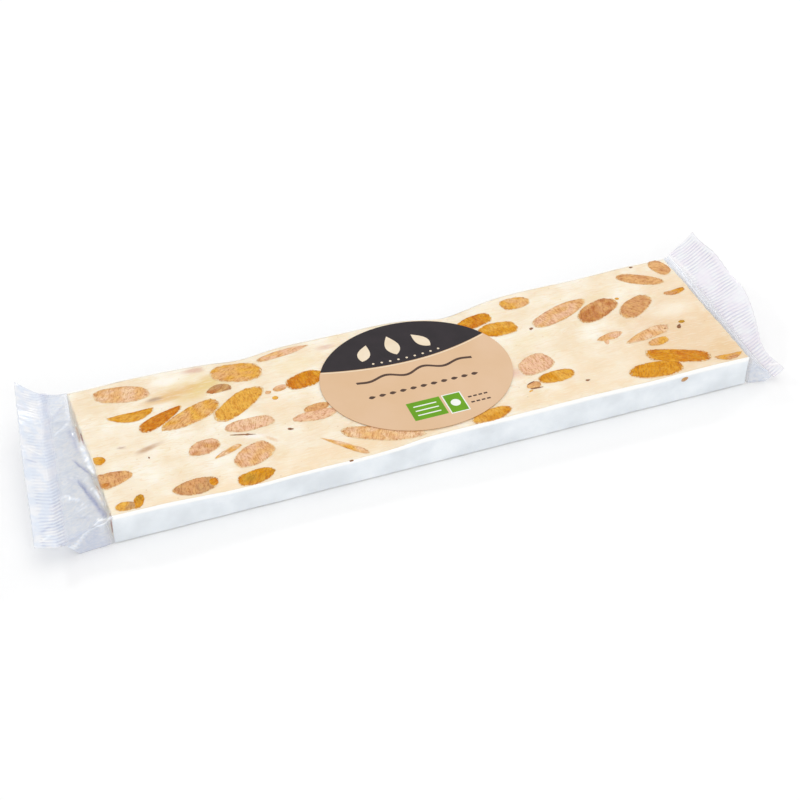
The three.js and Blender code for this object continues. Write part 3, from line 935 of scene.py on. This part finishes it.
# Painted light of the folds: grey-blue painted shade below the middle, white painted highlight above.
fold_highlight_and_shade = set_ramp(
    add_node(tree, "ShaderNodeValToRGB", {"Fac": haze_and_fold.outputs["Green"]}),
    (0, "#8F94B8"), (0.5, "#FCFDFF"), (0.7, "#FFFFFF"),
)
folded = add_node(
    tree,
    "ShaderNodeMixRGB",
    {"Fac": 1, "Color1": bluish, "Color2": fold_highlight_and_shade},
    blend_type="MULTIPLY",
)
bumps = add_node(tree, "ShaderNodeBump", {"Strength": 0.2, "Distance": 0.3 * MM, "Height": streaks})
set_inputs(tree, shader, {
    "Base Color": folded,
    "Alpha": haze_and_fold.outputs["Red"],
    "Normal": bumps,
    "Roughness": 0.15,
    "IOR": 1.49,
})
finish_piece(film_mesh, "film_sleeve", clear_film, "wrapped_bar")

# The end seals: both walls of the tube, pressed together between hot toothed jaws. The teeth leave
# ribs that run outwards, deep in some patches and faint in others.
SEAL_THICKNESS = 0.22
SEAL_THIN_EDGE = 0.03
# The plate is cut into 26 strips outwards and 440 across
SEAL_STEPS = (1 / 26, 2 / 440)
SEAL_LIFT = 0.12
SEAL_RAGGED = 0.25
SEAL_RIB = {"pitch": 1.35, "height": 0.16, "fade": 0.12}
# How hard the jaws pressed the ribs from place to place, and how they wander from straight
RIB_PRESS = {"mean": 0.55, "change": 0.9, "least": 0.1, "length": 5, "width": 7}
RIB_LEAN = {"most": 0.5, "length": 6, "width": 9}
# Where the ribs change, front to back, from one depth to the other, and over what width
RIB_CHANGE = {"at": -16, "over": 14}
# How opaque the seal is near the tent and outwards, and how far a fold's painted highlight adds to
# it; how far a fold's painted highlight or shade changes a rib's crest, and how far painted shade
# near the tent darkens it
SEAL_OPACITY = {"near": 0.5, "out": 0.7, "fold": 0.28}
CREST_PAINTED_LIGHT = {"fold": 0.6, "shade": 0.16}

# Sealed film: milky and glossy, cool at the left end and warmer at the right, with whiter patches,
# a painted highlight on the ribs' crests and glints, and painted shade in the grey-blue valleys
# between the ribs.
sealed_film, tree, shader, in_mm = new_material("heat_sealed_film")
patches = add_node(tree, "ShaderNodeTexNoise", {"Vector": in_mm, "Scale": 1 / 3.5, "Detail": 4})
shimmer = add_node(tree, "ShaderNodeTexNoise", {"Vector": in_mm, "Scale": 1 / 9, "Detail": 3})
place = add_node(tree, "ShaderNodeSeparateXYZ", {"Vector": in_mm})
rightward = add_node(
    tree,
    "ShaderNodeMath",
    {0: place.outputs["X"], 1: 1 / 700, 2: shimmer},
    operation="MULTIPLY_ADD",
)
hue = set_ramp(
    add_node(tree, "ShaderNodeValToRGB", {"Fac": rightward}), (0.4, "#EFF5FD"), (0.6, "#FDF8FC")
)
white_share = set_ramp(add_node(tree, "ShaderNodeValToRGB", {"Fac": patches}), (0.4, 0), (0.6, 1))
milky = add_node(
    tree, "ShaderNodeMixRGB", {"Fac": white_share, "Color1": hue, "Color2": linear("#FFFFFF")}
)
ribbed = add_node(tree, "ShaderNodeAttribute", {}, attribute_name="rib_opacity_and_light")
opaque_and_crest = add_node(tree, "ShaderNodeSeparateColor", {"Color": ribbed})
# Painted light on the seal: white painted highlight on the ribs' crests and on glints, grey-blue
# painted shade in the valleys and near the tent.
crest_highlight_and_shade = set_ramp(
    add_node(tree, "ShaderNodeValToRGB", {"Fac": opaque_and_crest.outputs["Green"]}),
    (0.1, "#DCDDEB"), (0.5, "#FBFCFF"), (0.8, "#FFFFFF"),
)
crest_lit_and_shaded = add_node(
    tree,
    "ShaderNodeMixRGB",
    {"Fac": 1, "Color1": milky, "Color2": crest_highlight_and_shade},
    blend_type="MULTIPLY",
)
bumps = add_node(
    tree, "ShaderNodeBump", {"Strength": 0.3, "Distance": 0.15 * MM, "Height": patches}
)
set_inputs(tree, shader, {
    "Base Color": crest_lit_and_shaded,
    "Alpha": opaque_and_crest.outputs["Red"],
    "Normal": bumps,
    "Roughness": 0.2,
    "IOR": 1.49,
})
for name, end in (("seal_left", LEFT_END), ("seal_right", RIGHT_END)):
    plate = bmesh.new()
    bmesh.ops.create_cube(plate, size=1)
    bmesh.ops.scale(plate, vec=(1, 2, 1), verts=plate.verts)
    for axis, step in enumerate(SEAL_STEPS):
        cut_along(plate, axis, step)
    rib_opacity_and_light = plate.verts.layers.float_color.new("rib_opacity_and_light")
    for vert in plate.verts:
        x, across, level = vert.co
        along = mix(-end["root"], 1, x * end["side"] + 0.5)
        outward = max(along, 0)
        if along < 0:
            start = mix(*end["line"], (across + 1) / 2)
            depth = mix(*end["edge"], (across + 1) / 2) - start
            closed = 1 + along * depth / start
            point = on_tent(end, closed, across * PACK_WIDTH / 2, PACK_HEIGHT)
            point.z += SEAL_LIFT
        else:
            point = crimp_point(end, across, outward)
            flat = ease(outward * 8)
            point.y *= mix(TENT_END_REACH, 1, flat)
            point.z += mix(TENT_END_THICKNESS / 2 + SEAL_LIFT, 0, flat)
        bite = Vector((point.x / RIB_PRESS["length"], point.y / RIB_PRESS["width"], 31))
        pressed = RIB_PRESS["mean"] + RIB_PRESS["change"] * noise.noise(bite)
        leaning = Vector((point.x / RIB_LEAN["length"], point.y / RIB_LEAN["width"], 37))
        lean = RIB_LEAN["most"] * noise.noise(leaning)
        rib = math.sin(2 * math.pi * (point.y + lean) / SEAL_RIB["pitch"])
        shown = ease((along + end["root"]) / end["rib_start"])
        rib *= min(max(pressed, RIB_PRESS["least"]), 1) * shown
        rib *= 1 - ease((outward - end["rib_stop"]) / SEAL_RIB["fade"])
        rib *= mix(*end["ribbed"], ease((point.y - RIB_CHANGE["at"]) / RIB_CHANGE["over"]))
        glint = min(max(folds_at(point.x, point.y)[1], -1), 1)
        point.z += level * mix(SEAL_THIN_EDGE, SEAL_THICKNESS, shown) + rib * SEAL_RIB["height"]
        opaque = mix(SEAL_OPACITY["near"], SEAL_OPACITY["out"], ease(outward * 4)) * shown
        # The crest value is painted light: up on rib crests and glints, down in the valleys and in the
        # painted shade near the tent.
        shade = CREST_PAINTED_LIGHT["shade"] * (1 - ease(outward * 5))
        crest = min(max(0.5 + 0.5 * rib + CREST_PAINTED_LIGHT["fold"] * glint - shade, 0), 1)
        vert[rib_opacity_and_light] = (opaque + SEAL_OPACITY["fold"] * max(glint, 0), crest, 0, 1)
        ragged = SEAL_RAGGED * noise.noise(Vector((point.y / 1.5, 3, 41))) * outward
        point.x += end["side"] * (ragged - SEAL_RAGGED * outward)
        vert.co = point
    bmesh.ops.recalc_face_normals(plate, faces=plate.faces)
    finish_piece(plate, name, sealed_film, "wrapped_bar")

# The label: an oval of coated paper, stuck on the film. Its print has a dark field over an arc,
# the paper's tan below it, and plain generic shapes on both.
LABEL_LOW = PACK_HEIGHT + 0.005
LABEL_THICKNESS = 0.2
LABEL_SIDES = 160
LABEL_TRIM = 0.1
LABEL_OVAL = [radius - LABEL_TRIM for radius in LABEL_RADII]
# How thick a layer of ink is, and how far it lies in what is under it
PRINT_LIFT = 0.012
PRINT_BITE = 0.002
# The arc: its height at the middle, and how much it rises to the left and right over its reach
ARC = {"middle": 7.3, "left": 4.2, "right": 5.6, "reach": 30}

# Coated paper: smooth, with a low sheen and a tan field that is a shade uneven
paper, tree, shader, in_mm = new_material("coated_label_paper")
fibres = add_node(tree, "ShaderNodeTexNoise", {"Vector": in_mm, "Scale": 1 / 18, "Detail": 3})
tan = set_ramp(
    add_node(tree, "ShaderNodeValToRGB", {"Fac": fibres}), (0.3, "#DDB78E"), (0.7, "#E2BE9A")
)
tooth = add_node(tree, "ShaderNodeTexNoise", {"Vector": in_mm, "Scale": 4, "Detail": 3})
bumps = add_node(tree, "ShaderNodeBump", {"Strength": 0.08, "Distance": 0.05 * MM, "Height": tooth})
set_inputs(tree, shader, {"Base Color": tan, "Normal": bumps, "Roughness": 0.5})


def thicken(sheet, thickness):
    """Pulls a flat sheet up into a plate."""
    pulled_up = bmesh.ops.extrude_face_region(sheet, geom=sheet.faces[:])["geom"]
    raised = [item for item in pulled_up if isinstance(item, bmesh.types.BMVert)]
    bmesh.ops.translate(sheet, vec=(0, 0, thickness), verts=raised)
    bmesh.ops.recalc_face_normals(sheet, faces=sheet.faces)


oval = bmesh.new()
bmesh.ops.create_circle(oval, cap_ends=True, segments=LABEL_SIDES, radius=1)
bmesh.ops.scale(oval, vec=(*LABEL_OVAL, 1), verts=oval.verts)
thicken(oval, LABEL_THICKNESS)
bmesh.ops.translate(oval, vec=(*LABEL_MIDDLE, LABEL_LOW), verts=oval.verts)
finish_piece(oval, "label_paper", paper, "label", smooth=False)


def printing_ink(name, dark, light):
    """Printer's ink on coated paper: an even field with the paper's faint cloudiness."""
    ink, tree, shader, in_mm = new_material(name)
    clouds = add_node(tree, "ShaderNodeTexNoise", {"Vector": in_mm, "Scale": 1 / 6, "Detail": 4})
    even = set_ramp(
        add_node(tree, "ShaderNodeValToRGB", {"Fac": clouds}), (0.3, dark), (0.7, light)
    )
    set_inputs(tree, shader, {"Base Color": even, "Roughness": 0.45, "Specular IOR Level": 0.3})
    return ink


def arc_height(x):
    rise = ARC["left"] if x < 0 else ARC["right"]
    return ARC["middle"] + rise * (abs(x) / ARC["reach"]) ** 2


def rim_height(x):
    share = min(abs(x) / LABEL_OVAL[0], 1)
    return LABEL_OVAL[1] * math.sqrt(1 - share * share)


def print_shapes(name, ink, columns, rows, shapes, layer):
    """Thin plates of ink, from grids whose points each shape() places, by 0 to 1 both ways."""
    printed = bmesh.new()
    low = LABEL_LOW + LABEL_THICKNESS + PRINT_LIFT * (layer - 1) - PRINT_BITE
    for shape in shapes:
        before = len(printed.verts)
        bmesh.ops.create_grid(printed, x_segments=columns, y_segments=rows, size=0.5)
        printed.verts.ensure_lookup_table()
        for vert in printed.verts[before:]:
            x, y = shape(vert.co.x + 0.5, vert.co.y + 0.5)
            vert.co = Vector((x + LABEL_MIDDLE[0], y + LABEL_MIDDLE[1], low))
    bmesh.ops.remove_doubles(printed, verts=printed.verts, dist=1e-4)
    thicken(printed, PRINT_LIFT)
    finish_piece(printed, name, ink, "label", smooth=False)


def rectangle(left, bottom, right, top):
    return lambda u, v: (mix(left, right, u), mix(bottom, top, v))


def almond_outline(middle_x, middle_y, length, width, turn):
    def shape(u, v):
        along = length * (u - 0.5)
        across = width * (v - 0.5) * math.sin(math.pi * u**0.8)
        place = Matrix.Rotation(math.radians(turn), 2) @ Vector((along, across))
        return middle_x + place.x, middle_y + place.y
    return shape


def disc(middle_x, middle_y, radius):
    def shape(u, v):
        a, b = 2 * u - 1, 2 * v - 1
        x, y = a * math.sqrt(1 - b * b / 2), b * math.sqrt(1 - a * a / 2)
        return middle_x + radius * x, middle_y + radius * y
    return shape


dark_ink = printing_ink("dark_brown_ink", "#211A1F", "#2A2227")
line_ink = printing_ink("cream_ink", "#EAD6B8", "#F2E2C8")
green_ink = printing_ink("green_ink", "#629A00", "#6EA800")
white_ink = printing_ink("white_ink", "#EEF1EA", "#F7F8F4")
brown_ink = printing_ink("brown_line_ink", "#4A362B", "#594134")

# Where the arc meets the oval's rim on each side, and the cream line that runs under it
FIELD_ENDS = (-30.9, 30.2)
ARC_LINE = {"inset": 0.6, "below": 0.75, "width": 0.4}
WAVE_LINE = {"reach": 21, "length": 14, "middle": 1.9, "height": 1.2, "width": 1.1}


def dark_field(u, v):
    x = mix(*FIELD_ENDS, u)
    low, high = arc_height(x), rim_height(x)
    return x, mix(min(low, high), high, v)


def pale_line(u, v):
    x = mix(FIELD_ENDS[0] + ARC_LINE["inset"], FIELD_ENDS[1] - ARC_LINE["inset"], u)
    return x, arc_height(x) - ARC_LINE["below"] + ARC_LINE["width"] * v


def wave_line(u, v):
    x = mix(-WAVE_LINE["reach"], WAVE_LINE["reach"], u)
    wave = math.sin(2 * math.pi * x / WAVE_LINE["length"]) * math.sin(math.pi * u) ** 0.5
    return x, WAVE_LINE["middle"] + WAVE_LINE["height"] * wave + WAVE_LINE["width"] * (v - 0.5)


print_shapes("label_dark_field", dark_ink, 160, 24, [dark_field], 1)
print_shapes("label_arc_line", line_ink, 120, 1, [pale_line], 1)
DOTS = {"pitch": 3, "reach": 12, "over_arc": 1.9, "radius": 0.42}
LOZENGES = {"count": 11, "pitch": 3.7, "at": -6.6}
# Generic motifs: three almonds over a row of dots in the dark field, a waved line and a row of
# lozenges on the tan, and two green blocks, one striped and one framed round a disc, with short
# dashes beside them
motif_nuts = [
    almond_outline(-13, 16.2, 9, 4.4, 62),
    almond_outline(-2.5, 17.2, 10.5, 5, 90),
    almond_outline(8, 16.6, 9, 4.4, 118),
]
dot_places = range(-DOTS["reach"], DOTS["reach"] + 1, DOTS["pitch"])
dots = [disc(x, arc_height(x) + DOTS["over_arc"], DOTS["radius"]) for x in dot_places]
print_shapes("label_motif", line_ink, 16, 8, motif_nuts, 2)
print_shapes("label_dots", line_ink, 6, 6, dots, 2)
print_shapes("label_wave_line", brown_ink, 150, 1, [wave_line], 1)
lozenge_steps = (step - LOZENGES["count"] // 2 for step in range(LOZENGES["count"]))
lozenges = [
    almond_outline(step * LOZENGES["pitch"], LOZENGES["at"], 2.5, 1.5, 0) for step in lozenge_steps
]
print_shapes("label_lozenges", brown_ink, 10, 4, lozenges, 1)
green_block = rectangle(-9.4, -22.6, 2.4, -13.6)
framed_block = rectangle(3.6, -22.9, 9.6, -13.9)
print_shapes("label_green_block", green_ink, 4, 4, [green_block, framed_block], 1)
frame_lines = [
    rectangle(3.2, -23.3, 10, -22.9), rectangle(3.2, -13.9, 10, -13.5),
    rectangle(3.2, -22.9, 3.6, -13.9), rectangle(9.6, -22.9, 10, -13.9),
]
print_shapes("label_frame", white_ink, 1, 1, frame_lines, 1)
print_shapes("label_disc", white_ink, 8, 8, [disc(6.6, -18.4, 1.7)], 2)
stripes = [rectangle(-7.6, y, 0.6, y + 0.5) for y in (-20.6, -18.4, -16.2)]
print_shapes("label_stripes", white_ink, 1, 1, stripes, 2)
DASH_ROWS = (-17.6, -20.4)
DASH_STARTS = (11.5, 13.4, 15.3, 17.2)
dashes = [rectangle(x, y, x + 1.3, y + 0.7) for y in DASH_ROWS for x in DASH_STARTS]
print_shapes("label_dashes", brown_ink, 1, 1, dashes, 1)

# The floor: a sweep of matt white paper, wide enough to have no edge in the picture. It lies a
# hair under the bar, and looks only just less than white.
FLOOR_SIZE = 3
FLOOR_GAP = 0.1
floor_paper, tree, shader, in_mm = new_material("white_background_paper")
tooth = add_node(tree, "ShaderNodeTexNoise", {"Vector": in_mm, "Scale": 1 / 60, "Detail": 2})
even_white = set_ramp(
    add_node(tree, "ShaderNodeValToRGB", {"Fac": tooth}), (0.3, "#FCFCFC"), (0.7, "#FEFEFE")
)
set_inputs(tree, shader, {"Base Color": even_white, "Roughness": 0.7})
ground = bmesh.new()
bmesh.ops.create_grid(ground, x_segments=8, y_segments=8, size=FLOOR_SIZE)
bmesh.ops.translate(ground, vec=(0, 0, -FLOOR_GAP * MM), verts=ground.verts)
floor_mesh = bpy.data.meshes.new("floor")
ground.to_mesh(floor_mesh)
ground.free()
floor_mesh.materials.append(floor_paper)
floor = bpy.data.objects.new("floor", floor_mesh)
bpy.context.scene.collection.objects.link(floor)

# Soft boxes: a large one over the bar and one in front of it, and two small ones behind it for the
# film's glints. Each: name, place in metres, size and power. White walls fill in all round.
WALL_LIGHT = 0.67
SOFT_BOXES = (
    ("overhead", (0.1, 0.1, 1.1), 1.4, 3.8),
    ("back_left", (-0.7, 0.9, 0.75), 0.15, 1.8),
    ("back_right", (0.9, 0.6, 0.5), 0.15, 1.2),
    ("front", (-0.2, -1.3, 0.6), 1.0, 4.6),
)
for name, place, size, power in SOFT_BOXES:
    light = bpy.data.lights.new(name, "AREA")
    light.shape = "SQUARE"
    light.size = size
    light.energy = power
    lamp = bpy.data.objects.new(name, light)
    lamp.location = place
    lamp.rotation_euler = (-Vector(place)).to_track_quat("-Z", "Y").to_euler()
    bpy.context.scene.collection.objects.link(lamp)
world = bpy.data.worlds.new("studio")
world.use_nodes = True
background = world.node_tree.nodes["Background"]
background.inputs["Color"].default_value = (1, 1, 1, 1)
background.inputs["Strength"].default_value = WALL_LIGHT
bpy.context.scene.world = world
bpy.context.scene.view_settings.view_transform = "Standard"

# The camera: a long lens, high over the bar's front left, fitted to the slab's corners in the
# photo. It is a little turned about its own line of sight, so its right-hand direction is given.
CAMERA_PLACE = Vector((-164.40, -398.75, 367.38)) * MM
CAMERA_LOOK = Vector((0.2883, 0.7044, -0.6486)).normalized()
CAMERA_RIGHT = Vector((0.931, -0.3646, 0.0179)).normalized()
LENS_LENGTH = 74.2
SENSOR_WIDTH = 36
camera_up = CAMERA_RIGHT.cross(CAMERA_LOOK)
lens = bpy.data.cameras.new("camera")
lens.lens = LENS_LENGTH
lens.sensor_width = SENSOR_WIDTH
lens.clip_start = 0.01
camera = bpy.data.objects.new("camera", lens)
camera.matrix_world = Matrix((
    (CAMERA_RIGHT.x, camera_up.x, -CAMERA_LOOK.x, CAMERA_PLACE.x),
    (CAMERA_RIGHT.y, camera_up.y, -CAMERA_LOOK.y, CAMERA_PLACE.y),
    (CAMERA_RIGHT.z, camera_up.z, -CAMERA_LOOK.z, CAMERA_PLACE.z),
    (0, 0, 0, 1),
))
bpy.context.scene.collection.objects.link(camera)
bpy.context.scene.camera = camera
